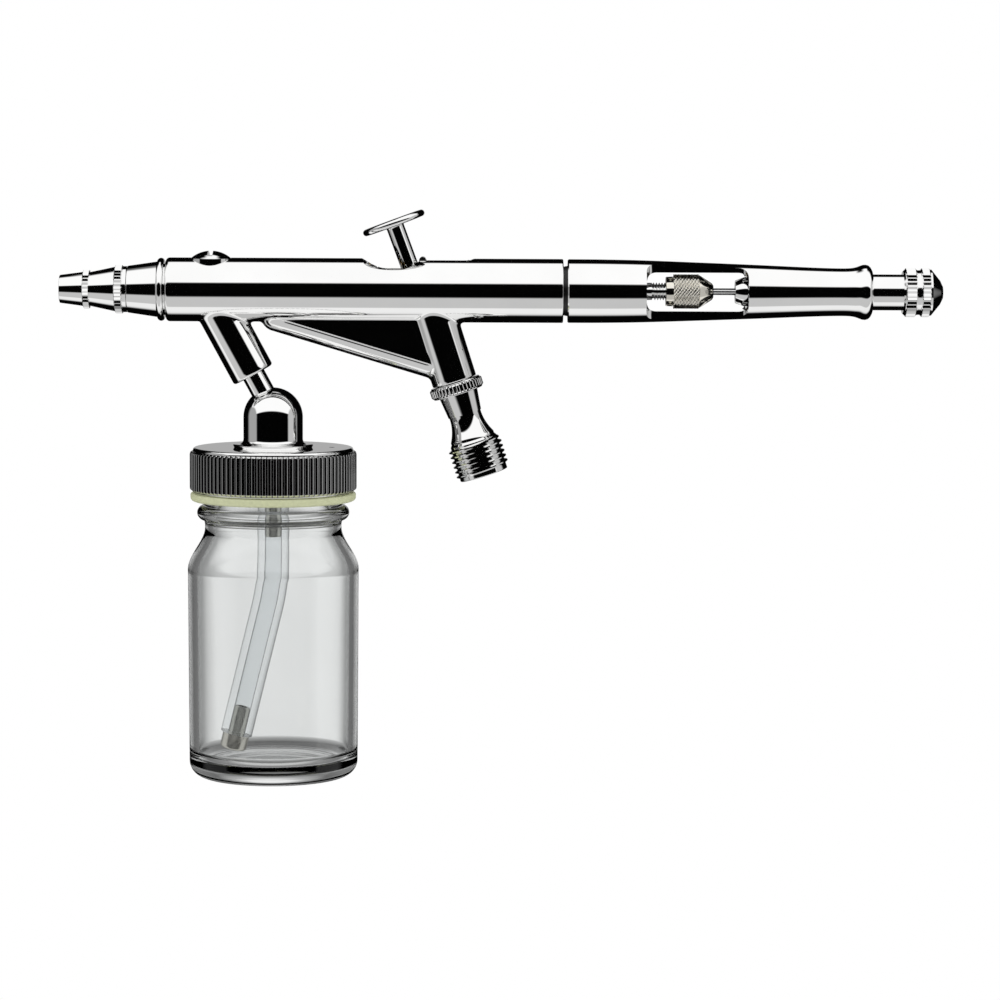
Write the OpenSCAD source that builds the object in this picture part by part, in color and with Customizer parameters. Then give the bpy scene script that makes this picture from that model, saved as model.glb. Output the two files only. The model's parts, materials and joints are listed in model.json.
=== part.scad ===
// Double-action airbrush with a siphon jar below and a preset knob behind its cutaway handle.
// The origin lies on the air valve's axis, in the first full thread crest of its inlet.
// +X runs along the barrel towards the handle, +Z is up.
// Stations are X distances from the valve's end face, heights are above that face.

/* [Barrel] */
// Outside diameter of the barrel
barrel_d = 11.4; // [11.2:0.1:11.8]
// Height of the barrel's axis
barrel_height = 33; // [32.8:0.1:33.4]
// Station of the barrel's front end
barrel_front = -56.9; // [-57:0.1:-56.8]
// Station of the barrel's rear end
barrel_rear = 14; // [13.8:0.1:14.1]
// Station of the slotted plug
plug_x = -48.9; // [-49.1:0.1:-48.7]
// Diameter of the slotted plug
plug_d = 7.3; // [7:0.1:7.6]

/* [Air valve] */
// Lean of the valve's axis from the vertical, its top towards the nozzle
valve_tilt = 17.7; // [17.5:0.1:17.9]
// Outside diameter of the inlet's G 1/8 thread
thread_d = 9.728; // [9.7:0.001:9.75]
// Pitch of the inlet's thread
thread_pitch = 0.907; // [0.9:0.001:0.91]
// Diameter of the boss below the barrel
boss_d = 8.1; // [8:0.1:8.6]

/* [Trigger] */
// Lean of the trigger's stem at rest
trigger_tilt = 20.3; // [20:0.1:20.6]
// Diameter of the finger disc
disc_d = 11.6; // [11:0.1:12.2]
// Diameter of the trigger's stem
stem_d = 3.2; // [3:0.1:3.4]
// Length of the wide part of the trigger opening
opening_l = 11; // [10.8:0.1:11.2]
// Width of the wide part of the trigger opening
opening_w = 8.5; // [8.3:0.1:8.6]
// Width of the slot behind the trigger opening
slot_w = 4.14; // [4.1:0.02:4.3]

/* [Feed tube] */
// Station where the feed tube meets the barrel's axis
feed_x = -49.6; // [-49.8:0.1:-49.4]
// Lean of the feed tube, its foot towards the handle
feed_tilt = 28.5; // [28:0.1:29]
// Outside diameter of the feed tube
feed_d = 7.8; // [7.6:0.1:8]
// Length of the feed tube from the barrel's axis
feed_l = 17.3; // [17:0.1:17.6]
// Diameter of the adaptor's stem
adaptor_stem_d = 4.2; // [4.1:0.1:4.4]

/* [Bottle] */
// Station of the bottle's axis
bottle_x = -37.85; // [-38:0.05:-37.7]
// Outside diameter of the bottle cap over its ribs
cap_d = 29.9; // [29.7:0.1:30.2]
// Height of the cap's flat top
cap_top = 4.8; // [4.7:0.1:4.9]
// Height of the cap's lower edge
cap_foot = -3.3; // [-3.4:0.1:-3.2]
// Number of ribs around the cap
cap_ribs = 95; // [80:1:110]
// Outside diameter of the jar's body
jar_d = 30.7; // [30.5:0.1:30.9]
// Height of the jar's base
jar_base = -54.6; // [-55:0.1:-54]
// Thickness of the jar's wall
jar_wall = 1.6; // [1.4:0.1:1.8]
// Outside diameter of the siphon hose
hose_d = 5.7; // [5.5:0.1:5.9]
// Bend of the siphon hose
hose_bend = 13.8; // [13:0.1:14.2]

/* [Handle] */
// Station of the handle's rear end
handle_rear = 69.2; // [69:0.1:69.3]
// Distance from the axis to the flats milled on the handle's sides
flat_y = 2.4; // [2.2:0.1:2.6]
// Station of the window's front end
window_front = 28.75; // [28.5:0.05:29]
// Station of the window's rear end
window_rear = 46.9; // [46.6:0.1:47.2]
// Diameter of the needle
needle_d = 1.2; // [1.1:0.05:1.25]

/* [Hidden] */

$fn = 96;
barrel_r = barrel_d / 2;
thread_r = thread_d / 2;
needle_r = needle_d / 2;
crest_l = 0.12;
lead_in = 0.56;
datum_x = lead_in * sin(valve_tilt);
datum_z = -lead_in * cos(valve_tilt);
axis_z = barrel_height + datum_z;
chamber_r = 4.4;
opening_front = -22;
slot_end = -1.8;
pivot_s = 29.3;
pivot_x = -pivot_s * sin(valve_tilt);
pivot_z = pivot_s * cos(valve_tilt);
stem_x = -9.95;
trigger_l = 18.33;
lever_x = -7.6;
lever_z = 30.9;
lever_tilt = 25;
lever_l = 8.9;

// ---- placing and profile helpers ----

// Solid of revolution about the barrel's axis, from [station, radius] pairs
module turned(points) {
    translate([datum_x, 0, axis_z]) rotate([0, 90, 0])
        rotate_extrude() polygon([for (p = points) [p[1], p[0]]]);
}

// Places children on the barrel's axis, their Z towards the handle
module on_barrel(station) {
    translate([datum_x + station, 0, axis_z]) rotate([0, 90, 0]) children();
}

// Places children on the valve's axis, their Z towards the barrel
module on_valve(s) {
    rotate([0, -valve_tilt, 0]) translate([0, 0, s - lead_in]) children();
}

// Places children on the feed tube's axis, their Z away from the barrel
module on_feed(s) {
    translate([datum_x + feed_x, 0, axis_z]) rotate([0, 180 - feed_tilt, 0])
        translate([0, 0, s]) children();
}

// Places children on the bottle's axis
module on_bottle(height) {
    translate([datum_x + bottle_x, 0, datum_z + height]) children();
}

// Places children at a station and a height in the plane of symmetry
module at(station, height) {
    translate([datum_x + station, 0, datum_z + height]) children();
}

// Ring from [radius, height] pairs
module ring(points) {
    rotate_extrude() polygon(points);
}

// Bar of a zigzag section: a straight knurl
module ribbed(r, depth, count, l) {
    linear_extrude(l) polygon([
        for (i = [0 : 2 * count - 1])
            let (a = 180 * i / count, q = i % 2 == 0 ? r : r - depth)
                [q * cos(a), q * sin(a)]
    ]);
}

// Points of a circular arc in a profile
function arc(c, r, from, to, steps = 8) =
    [for (i = [0 : steps]) let (a = from + (to - from) * i / steps) c + r * [cos(a), sin(a)]];

// Tube of round wire wound into a coil about Z
module coil(r, wire_r, turns, l, steps = 18, sides = 6) {
    n = turns * steps;
    points = [
        for (i = [0 : n], k = [0 : sides - 1])
            let (a = 360 * i / steps, b = 360 * k / sides, q = r + wire_r * cos(b))
                [q * cos(a), q * sin(a), wire_r + (l - 2 * wire_r) * i / n + wire_r * sin(b)]
    ];
    walls = [
        for (i = [0 : n - 1], k = [0 : sides - 1])
            let (m = (k + 1) % sides)
                [i * sides + k, i * sides + m, (i + 1) * sides + m, (i + 1) * sides + k]
    ];
    first = [for (k = [sides - 1 : -1 : 0]) k];
    last = [for (k = [0 : sides - 1]) n * sides + k];
    polyhedron(points, concat([first], walls, [last]));
}

// ---- barrel and body ----

web_tilt = 16.6;
web_r = 2.7;
web_start = [-37.3, 28.3];
web_l = 32.6;
feed_bore_r = 1.2;
paint_r = 1.9;
packing_r = 2.35;
socket_l = 9;
spigot_r = 3.2;
boss_foot = 17.6;
gallery_s = 19.9;

module web() {
    // the rounded band holds the air passage and the plate above it joins it to the barrel
    at(web_start[0], web_start[1]) rotate([0, 90 + web_tilt, 0])
        ring(concat(arc([0, 0], web_r, -90, 0, 10), [[web_r, web_l], [0, web_l]]));
    at(0, 0) rotate([90, 0, 0]) translate([0, 0, -2.45]) linear_extrude(4.9)
        polygon([
            [web_start[0] + 0.5, web_start[1]],
            [web_start[0] + 27.6, web_start[1] - 27.1 * tan(web_tilt)],
            [-10.5, barrel_height],
            [web_start[0] + 2, barrel_height]
        ]);
}

module body_outside() {
    turned([
        [barrel_front, 0], [barrel_front, barrel_r - 0.65], [barrel_front + 0.65, barrel_r],
        [barrel_rear - 0.25, barrel_r], [barrel_rear, barrel_r - 0.25], [barrel_rear, 0]
    ]);
    on_feed(0) ring(concat(
        [[0, 0], [feed_d / 2, 0]],
        arc([feed_d / 2 - 0.5, feed_l - 0.5], 0.5, 0, 90),
        [[0, feed_l]]
    ));
    on_valve(boss_foot) ring([
        [0, 0], [boss_d / 2 - 0.2, 0], [boss_d / 2, 0.2], [boss_d / 2, 16.5], [0, 16.5]
    ]);
    web();
}

module trigger_opening() {
    end_r = opening_w / 2;
    first = opening_front + end_r;
    last = opening_front + opening_l - end_r;
    at(first, barrel_height) cylinder(r = end_r, h = barrel_d);
    at(last, barrel_height) cylinder(r = end_r, h = barrel_d);
    at(first, barrel_height) translate([0, -end_r, 0]) cube([last - first, opening_w, barrel_d]);
    at(last, barrel_height) translate([0, -slot_w / 2, 0])
        cube([slot_end - slot_w / 2 - last, slot_w, barrel_d]);
    at(slot_end - slot_w / 2, barrel_height) cylinder(d = slot_w, h = barrel_d);
}

module air_passages() {
    // from the valve's gallery up the web, then forward beside the paint passage
    at(-6.06, 18.98) rotate([0, -90 + web_tilt, 0]) cylinder(r = 1, h = 37);
    at(-41.4, barrel_height - 3.3) rotate([-90, 0, 0]) cylinder(r = 0.55, h = 2.4);
    on_barrel(-53.2) translate([3.3, 2.4, 0]) cylinder(r = 0.7, h = 12.2);
    on_valve(gallery_s - 0.7) cylinder(r = 3.7, h = 1.4);
}

module body_shell() {
    color("gainsboro") difference() {
        body_outside();
        turned([
            [barrel_front - 1, 0], [barrel_front - 1, 3.95], [-52.8, 3.95], [-52.8, paint_r],
            [-44, paint_r], [-44, 1.95], [-36, 1.95], [-36, packing_r], [-24.5, packing_r],
            [-24.5, chamber_r], [barrel_rear + 1, chamber_r], [barrel_rear + 1, 0]
        ]);
        trigger_opening();
        air_passages();
        on_feed(0) cylinder(r = feed_bore_r, h = feed_l);
        on_feed(feed_l - socket_l) cylinder(d = adaptor_stem_d + 0.1, h = socket_l + 1);
        on_valve(boss_foot - 1) cylinder(r = 3.85, h = 1.8);
        on_valve(boss_foot) cylinder(r = spigot_r + 0.05, h = 6.6);
        on_valve(24) cylinder(r = 3.3, h = 8);
        at(plug_x, barrel_height + 3.4) cylinder(d = plug_d + 0.06, h = 5);
        at(plug_x, barrel_height) cylinder(r = 2.25, h = 4);
    }
}

module slotted_plug() {
    rise = barrel_r + 1.23;
    edge = 4.45;
    dome_r = (pow(plug_d / 2, 2) + pow(rise - edge, 2)) / (2 * (rise - edge));
    reach = asin(plug_d / 2 / dome_r);
    color("silver") difference() {
        at(plug_x, barrel_height) ring(concat(
            [[0, 1.95], [2.2, 1.95], [2.2, 3.45], [plug_d / 2, 3.45]],
            arc([0, rise - dome_r], dome_r, 90 - reach, 90, 12)
        ));
        at(plug_x, barrel_height + rise - 0.9) translate([-0.45, -5, 0]) cube([0.9, 10, 3]);
    }
}

// ---- nozzle ----

module nozzle_head() {
    bead_r = 5.63;
    color("silver") difference() {
        union() {
            turned(concat(
                [[-65.9, 0], [-65.9, 2.75], [-65.7, 2.95], [-63.75, 2.95], [-63.75, 4.05],
                 [-63.6, 4.2], [-58.45, 4.96]],
                arc([-57.8, bead_r - 0.65], 0.65, 180, 0, 10),
                [[-57.15, 4.6], [-56.98, 4.6], [-56.98, 3.9], [-53.4, 3.9], [-53.2, 3.7],
                 [-53.2, 1.85], [-51.2, 1.85], [-51.2, 0]]
            ));
        }
        turned([[-66, 0], [-66, 1.22], [-62.8, 1.22], [-62.8, 1.3], [-51, 1.3], [-51, 0]]);
        for (i = [0 : 3])
            on_barrel(-67) rotate([0, 0, 45 + 90 * i]) translate([2.3, 0, 0])
                cylinder(r = 0.4, h = 15, $fn = 24);
    }
}

module fluid_nozzle() {
    color("silver") turned([
        [-72.7, 0.16], [-72.7, 0.42], [-72.3, 0.55], [-68.2, 1.15], [-66.9, 1.35],
        [-66.9, 1.65], [-66.2, 1.65], [-66.2, 1.18], [-63, 1.18], [-63, 0.95], [-66, 0.95]
    ]);
}

module nozzle_seal() {
    color("white") turned([[-66.19, 1.22], [-66.19, 1.62], [-65.91, 1.62], [-65.91, 1.22]]);
}

module nozzle_cap() {
    teeth = 38;
    color("silver") difference() {
        union() {
            turned([
                [-72.4, 0], [-72.4, 1.9], [-72.1, 2.2], [-70.5, 2.2], [-70.5, 3.0], [-66, 3.96],
                [-63.95, 4.07], [-63.85, 3.95], [-63.8, 0]
            ]);
            on_barrel(-66) ribbed(4.33, 0.28, teeth, 1.4);
        }
        turned([
            [-73, 0], [-73, 0.75], [-72, 0.75], [-70, 1.6], [-67.4, 2.3], [-66.1, 2.3],
            [-66.1, 3.0], [-63.7, 3.0], [-63.7, 0]
        ]);
    }
}

module needle_cap() {
    teeth = 29;
    color("silver") difference() {
        union() {
            turned(concat(
                [[-70.5, 0], [-70.5, 3.0], [-71.7, 3.0]],
                arc([-75.6, 2.23], 0.3, 85, 180, 5),
                [[-75.9, 0]]
            ));
            on_barrel(-71.7) ribbed(3.45, 0.26, teeth, 1.2);
        }
        turned([
            [-76, 0], [-76, 1.95], [-73.2, 2.1], [-72.6, 2.1], [-72.6, 2.25], [-70, 2.25], [-70, 0]
        ]);
    }
}

module needle_packing() {
    color("ivory") turned([[-40, 0.64], [-40, 1.9], [-36.05, 1.9], [-36.05, 0.64]]);
}

module packing_screw() {
    color("goldenrod") difference() {
        turned([[-36, 0.8], [-36, 2.1], [-35.8, 2.3], [-27.3, 2.3], [-27, 2.1], [-27, 0.8]]);
        on_barrel(-27.8) translate([-0.35, -5, 0]) cube([0.7, 10, 2]);
    }
}

// ---- air valve ----

crests = 7;
collar_foot = 15.35;
collar_top = 17.45;
seat_s = 13.35;
valve_stem_r = 0.9;

module valve_casing() {
    thread_depth = 0.58;
    flank = (thread_pitch - crest_l) / 2;
    thread_end = lead_in + (crests - 1) * thread_pitch + crest_l / 2;
    thread_points = [
        for (i = [0 : crests - 1], p = [[-flank, -thread_depth], [-crest_l / 2, 0], [crest_l / 2, 0]])
            if (i > 0 || p[1] == 0) [thread_r + p[1], lead_in + i * thread_pitch + p[0]]
    ];
    color("silver") difference() {
        union() {
            on_valve(0) ring(concat(
                [[0, 0], [thread_r - thread_depth, 0]],
                thread_points,
                [[thread_r - thread_depth, thread_end + flank], [4.0, thread_end + flank + 0.4]],
                [for (i = [0 : 8]) let (t = i / 8) [2.9 + 1.1 * pow(1 - t, 2), 7.15 + 4.0 * t]],
                [[3.05, 11.3], [3.05, 11.5], [3.52, collar_foot], [4.45, collar_foot],
                 [4.6, collar_foot + 0.25], [4.6, collar_top - 0.25], [4.45, collar_top],
                 [spigot_r, collar_top], [spigot_r, 23], [3.0, 23.2], [0, 23.2]]
            ));
            on_valve(collar_foot + 0.3) ribbed(4.83, 0.3, 40, 1.5);
        }
        on_valve(-1) ring([
            [0, 0], [3, 0], [3, 6.5], [2.2, 6.5], [2.2, 9], [1.9, 9], [1.9, seat_s + 1],
            [1.2, seat_s + 1], [1.2, 15.6], [1.5, 15.6], [1.5, 22], [valve_stem_r + 0.05, 22],
            [valve_stem_r + 0.05, 26], [0, 26]
        ]);
        on_valve(gallery_s) rotate([90, 0, 0]) cylinder(r = 0.7, h = 8, center = true);
        on_valve(gallery_s) rotate([0, 90, 0]) cylinder(r = 0.7, h = 8, center = true);
    }
}

module valve_o_ring() {
    color("dimgray") on_valve(boss_foot + 0.25) rotate_extrude() translate([3.53, 0]) circle(r = 0.31);
}

module valve_screw() {
    color("goldenrod") difference() {
        on_valve(5.6) ring([[1, 0], [2.17, 0], [2.17, 2.3], [1, 2.3]]);
        on_valve(5) translate([-3, -0.3, 0]) cube([6, 0.6, 1.3]);
    }
}

module valve_spring() {
    color("slategray") on_valve(7.92) coil(1.4, 0.2, 7, 4.06);
}

module valve_plunger() {
    cup_foot = 27;
    color("silver") difference() {
        on_valve(0) ring([
            [0, 12], [1.65, 12], [1.65, 13], [valve_stem_r, 13], [valve_stem_r, cup_foot - 1],
            [2.6, cup_foot], [2.6, pivot_s - 0.25], [2.4, pivot_s - 0.05], [0, pivot_s - 0.05]
        ]);
        on_valve(pivot_s) rotate([90, 0, 0]) cylinder(r = 1.55, h = 8, center = true);
    }
}

module valve_seal() {
    seal_r = valve_stem_r + 0.02;
    color("dimgray") on_valve(13.01) ring([[seal_r, 0], [1.6, 0], [1.6, 0.31], [seal_r, 0.31]]);
}

// ---- trigger ----

// Places children in the trigger's own frame, its Z along the stem
module on_trigger(s) {
    at(stem_x, pivot_z) rotate([0, -trigger_tilt, 0]) translate([0, 0, s]) children();
}

module trigger() {
    disc_r = disc_d / 2;
    foot_r = 1.5;
    foot_offset = pivot_x - stem_x;
    fx = foot_offset * cos(trigger_tilt);
    fz = -foot_offset * sin(trigger_tilt);
    blade_top = 10;
    blade_w = 3.5;
    color("silver") {
        difference() {
            union() {
                at(pivot_x, pivot_z) rotate([90, 0, 0]) cylinder(r = foot_r, h = blade_w, center = true);
                on_trigger(0) rotate([90, 0, 0]) translate([0, 0, -blade_w / 2]) linear_extrude(blade_w)
                    polygon([
                        [-1.6, blade_top], [1.6, blade_top], [1.6, 1.6], [fx + 1, 0.6], [fx + 0.9, fz],
                        [fx - 0.9, fz], [fx - 1, 0.6], [-1.6, 2.2]
                    ]);
                on_trigger(blade_top - 0.5) cylinder(d = stem_d, h = trigger_l - blade_top);
                on_trigger(trigger_l) ring(concat(
                    [[0, -0.62], [disc_r - 0.9, -0.42]],
                    arc([disc_r - 0.45, 0.1], 0.45, -70, 110, 8),
                    [[disc_r - 1.1, 0.42], [disc_r - 2.4, 0.12], [0, -0.05]]
                ));
            }
            // the needle passes through the trigger
            on_trigger(3.9) translate([-5, -0.87, 0]) cube([10, 1.74, 5.4]);
        }
    }
}

module auxiliary_lever() {
    w = 3.6;
    color("silver") difference() {
        at(lever_x, lever_z) rotate([0, -lever_tilt, 0]) union() {
            rotate([90, 0, 0]) cylinder(r = 1.1, h = w, center = true);
            translate([-0.6, -w / 2, 0]) cube([1.2, w, lever_l - 0.6]);
            translate([0, 0, lever_l - 0.6]) rotate([90, 0, 0]) cylinder(r = 0.6, h = w, center = true);
        }
        at(lever_x, lever_z) rotate([90, 0, 0]) cylinder(r = 0.52, h = 8, center = true);
        at(lever_x, lever_z) rotate([0, -lever_tilt, 0]) translate([-3, -0.87, 1.25]) cube([6, 1.74, 2.6]);
    }
}

module lever_pin() {
    color("darkgray") at(lever_x, lever_z) rotate([90, 0, 0]) cylinder(r = 0.48, h = 5.7, center = true);
}

// ---- needle carriage ----

guide_r = 1.54;

module spring_guide() {
    color("silver") difference() {
        turned([
            [3, 0], [3, 4.1], [3.3, 4.3], [8.3, 4.3], [8.3, 3.55], [17.6, 3.55], [18, 3.15], [18, 0]
        ]);
        turned([[2, 0], [2, 3.15], [16.6, 3.15], [16.6, guide_r + 0.07], [19, guide_r + 0.07], [19, 0]]);
        on_barrel(2.2) translate([-0.4, -5, 0]) cube([0.8, 10, 1.8]);
    }
}

module needle_spring() {
    color("slategray") on_barrel(1.05) coil(2.35, 0.28, 11, 15.5);
}

module chucking_guide() {
    color("silver") difference() {
        union() {
            turned([
                [-5, 0], [-5, 2.8], [-4.8, 3.0], [1, 3.0], [1, guide_r], [36.2, guide_r],
                [37.6, 0.95], [37.6, 0]
            ]);
            for (side = [-1, 1])
                at(lever_x - 1, lever_z - 1) translate([0, side * 2.45 - 0.45, 0]) cube([4, 0.9, 2]);
        }
        turned([[-6, 0], [-6, needle_r + 0.06], [38, needle_r + 0.06], [38, 0]]);
        at(lever_x, lever_z) rotate([90, 0, 0]) cylinder(r = 0.5, h = 8, center = true);
        on_barrel(33.5) for (a = [0, 90]) rotate([0, 0, a]) translate([-0.2, -3, 0]) cube([0.4, 6, 5]);
    }
}

module chuck_nut() {
    color("silver") difference() {
        turned([
            [32.3, 0], [32.3, 2.5], [32.45, 2.66], [33.5, 2.66], [33.5, 2.95], [33.7, 3.12],
            [38.1, 3.12], [38.3, 2.9], [38.4, 2.85], [40.5, 1.45], [40.8, 1.1], [40.8, 0]
        ]);
        turned([[32, 0], [32, guide_r + 0.05], [36.4, guide_r + 0.05], [38, 0.8], [41, 0.8], [41, 0]]);
    }
}

module needle() {
    tip = -75.1;
    color("silver") turned([
        [tip, 0], [tip + 0.05, 0.02], [tip + 4, 0.2], [tip + 14, needle_r], [49.7, needle_r],
        [50, needle_r - 0.2], [50, 0]
    ]);
}

// ---- handle ----

handle_profile = [
    [14.8, 5.5], [15, 5.68], [20.7, 5.66], [27.9, 5.54], [38, 5.2], [49.3, 4.77], [56.4, 4.46],
    [60.5, 4.31], [63.6, 4.25], [65.2, 4.29], [66.2, 4.45], [66.9, 4.7], [67.4, 4.9], [67.9, 4.95],
    [68.4, 4.85], [68.8, 4.5], [69.1, 3.9], [handle_rear, 3.6]
];

module handle_window() {
    // a flat milled on each side breaks into the bore, and the cutter leaves round ends
    cutter_r = 1.84;
    depth = 6;
    span = window_rear - window_front - 2 * cutter_r;
    for (side = [0, 180])
        at((window_front + window_rear) / 2, 0) rotate([0, 0, side]) translate([0, flat_y, 0]) {
            for (end = [-0.5, 0.5])
                translate([end * span, cutter_r, 0]) cylinder(r = cutter_r, h = 2 * barrel_height);
            translate([-span / 2, 0, 0]) cube([span, depth, 2 * barrel_height]);
            translate([-span / 2 - cutter_r, cutter_r, 0])
                cube([span + 2 * cutter_r, depth, 2 * barrel_height]);
        }
}

module handle() {
    color("gainsboro") difference() {
        turned(concat(
            [[9, 0], [9, 4.1], [9.3, 4.35], [14.05, 4.35], [14.05, 5.3], [14.8, 5.3]],
            handle_profile,
            [[handle_rear, 0]]
        ));
        turned([
            [8, 0], [8, 3.7], [24.5, 3.7], [25, 4.2], [47.6, 4.2], [48.2, 3.6], [52, 3.6],
            [52, 2.66], [60, 2.66], [60, 3.28],
            [handle_rear + 1, 3.28], [handle_rear + 1, 0]
        ]);
        handle_window();
    }
}

preset_thread_r = 2.6;
preset_stem_r = 3.2;
knob_front = 74.6;

module preset_stem() {
    color("silver") difference() {
        turned([
            [44.7, 0], [44.7, 2.0], [46.3, preset_thread_r], [62, preset_thread_r], [62, preset_stem_r],
            [64.4, preset_stem_r], [64.4, 2.4], [65.6, 2.4], [65.6, preset_stem_r],
            [knob_front, preset_stem_r], [knob_front, 2.0], [79, 2.0], [79, 0]
        ]);
        turned([[44, 0], [44, needle_r + 0.15], [56, needle_r + 0.15], [56.5, 0]]);
    }
}

module preset_knob() {
    teeth = 36;
    color("silver") difference() {
        union() {
            turned(concat(
                [[knob_front, 0], [knob_front, 3.75], [knob_front + 0.35, 4.1], [79.45, 4.1], [79.7, 4.15],
                 [81.3, 2.05]],
                arc([81.3, 1.55], 0.5, 60, 0, 4),
                [[81.8, 0]]
            ));
            on_barrel(knob_front + 0.35) ribbed(4.36, 0.24, teeth, 2.05);
            on_barrel(77.8) ribbed(4.36, 0.24, teeth, 1.65);
        }
        turned([[knob_front - 1, 0], [knob_front - 1, 2.0], [79, 2.0], [79, 0]]);
    }
}

module preset_o_ring() {
    color("dimgray") on_barrel(65) rotate_extrude() translate([2.82, 0]) circle(r = 0.41);
}

// ---- bottle ----

dome_r = 5.33;
dome_z = 10.2;
thread_bore_r = 13.5;
vent_x = 10.5;

module bottle_adaptor() {
    insert = 8.6;
    color("silver") difference() {
        union() {
            on_feed(feed_l - insert) cylinder(d = adaptor_stem_d, h = insert + 8);
            on_bottle(0) ring(concat(
                [[0, -0.6], [2.9, -0.6], [2.9, cap_top], [7.0, cap_top], [7.3, cap_top + 0.25],
                 [7.1, cap_top + 0.6]],
                arc([dome_r + 0.9, cap_top + 1.5], 0.9, 270, 180, 5),
                arc([0, dome_z], dome_r, 0, 90, 12)
            ));
        }
        on_feed(feed_l - insert - 1) cylinder(r = 1, h = insert + 8.6);
        on_bottle(-2) cylinder(r = 1, h = 13.6);
        on_bottle(-2) cylinder(r = 1.46, h = 5);
    }
}

module bottle_cap() {
    cap_r = cap_d / 2;
    root_r = cap_r - 0.5;
    color("silver") difference() {
        union() {
            on_bottle(0) ring([
                [0, cap_foot], [root_r - 0.3, cap_foot], [root_r - 0.05, cap_foot + 0.4],
                [root_r - 0.05, cap_top - 0.5], [root_r - 0.6, cap_top], [0, cap_top]
            ]);
            on_bottle(cap_foot + 0.35) ribbed(cap_r, 0.5, cap_ribs, cap_top - cap_foot - 1);
        }
        on_bottle(cap_foot - 1) cylinder(r = thread_bore_r, h = 7.7);
        on_bottle(0) cylinder(r = 2.95, h = 10);
        // vent that lets air into the bottle as paint is drawn out
        on_bottle(0) translate([vent_x, 0, 0]) cylinder(r = 0.5, h = 10);
    }
}

module adaptor_nut() {
    color("silver") on_bottle(1.0) difference() {
        cylinder(r = 5, h = 1.5, $fn = 6);
        translate([0, 0, -1]) cylinder(r = 2.95, h = 4);
    }
}

module cap_liner() {
    color("white") difference() {
        on_bottle(2.6) ring([[3.0, 0], [13.3, 0], [13.3, 0.78], [3.0, 0.78]]);
        on_bottle(0) translate([vent_x, 0, 0]) cylinder(r = 0.6, h = 10);
    }
}

nipple_foot = -12;
hose_r = hose_d / 2;
hose_bore_r = 1.45;
hose_top = -1.2;
bend_top = -14.5;
bend_r = 41;
hose_tail = 23.4;

module hose_nipple() {
    color("silver") on_bottle(0) ring([
        [0.9, nipple_foot], [1.3, nipple_foot], [1.43, nipple_foot + 0.3], [1.43, 2.9], [0.9, 2.9]
    ]);
}

// Places children where the hose's bend ends, their Z back up the hose
module on_hose_tail(s) {
    on_bottle(bend_top) translate([-bend_r, 0, 0]) rotate([0, hose_bend, 0])
        translate([bend_r, 0, -s]) children();
}

// Tube of an annular section through [x, z, lean] stations that run down the hose
module hose_tube(route, outer_r, inner_r, sides = 24) {
    n = len(route) - 1;
    points = [
        for (p = route, r = [outer_r, inner_r], k = [0 : sides - 1])
            let (b = 360 * k / sides)
                [p[0] + r * cos(b) * cos(p[2]), r * sin(b), p[1] - r * cos(b) * sin(p[2])]
    ];
    walls = [
        for (i = [0 : n - 1], k = [0 : sides - 1])
            let (m = (k + 1) % sides, a = 2 * sides * i, c = a + 2 * sides)
                [a + k, a + m, c + m, c + k]
    ];
    bores = [for (f = walls) [for (i = [3 : -1 : 0]) f[i] + sides]];
    ends = [
        for (k = [0 : sides - 1])
            let (m = (k + 1) % sides, c = 2 * sides * n)
                each [[k, k + sides, m + sides, m], [c + m, c + m + sides, c + k + sides, c + k]]
    ];
    polyhedron(points, concat(walls, bores, ends));
}

module siphon_hose() {
    bend_steps = 6;
    bend = [
        for (i = [0 : bend_steps])
            let (a = hose_bend * i / bend_steps)
                [bend_r * (cos(a) - 1), bend_top - bend_r * sin(a), a]
    ];
    foot = bend[bend_steps] - hose_tail * [sin(hose_bend), cos(hose_bend), 0];
    route = concat([[0, hose_top, 0]], bend, [foot]);
    color("whitesmoke") on_bottle(0) hose_tube(route, hose_r, hose_bore_r);
}

module hose_foot() {
    color("silver") difference() {
        on_hose_tail(hose_tail) union() {
            translate([0, 0, -2.9]) ring([
                [0, 0], [1.9, 0], [2.4, 0.5], [2.4, 2.88], [1.43, 2.88], [1.43, 7.6], [1.25, 7.9], [0, 7.9]
            ]);
        }
        on_hose_tail(hose_tail + 4) cylinder(r = 0.8, h = 14);
        on_hose_tail(hose_tail + 3) translate([-3, -0.4, 0]) cube([6, 0.8, 1.2]);
    }
}

bead_z = -6.9;
neck_r = 12.4;

module bottle_gasket() {
    color("palegoldenrod") on_bottle(0) ring(concat(
        [[12.75, cap_foot - 0.02], [12.75, -4.5]],
        arc([14.3, -3.92], 0.58, -90, 85, 8)
    ));
}

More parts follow.
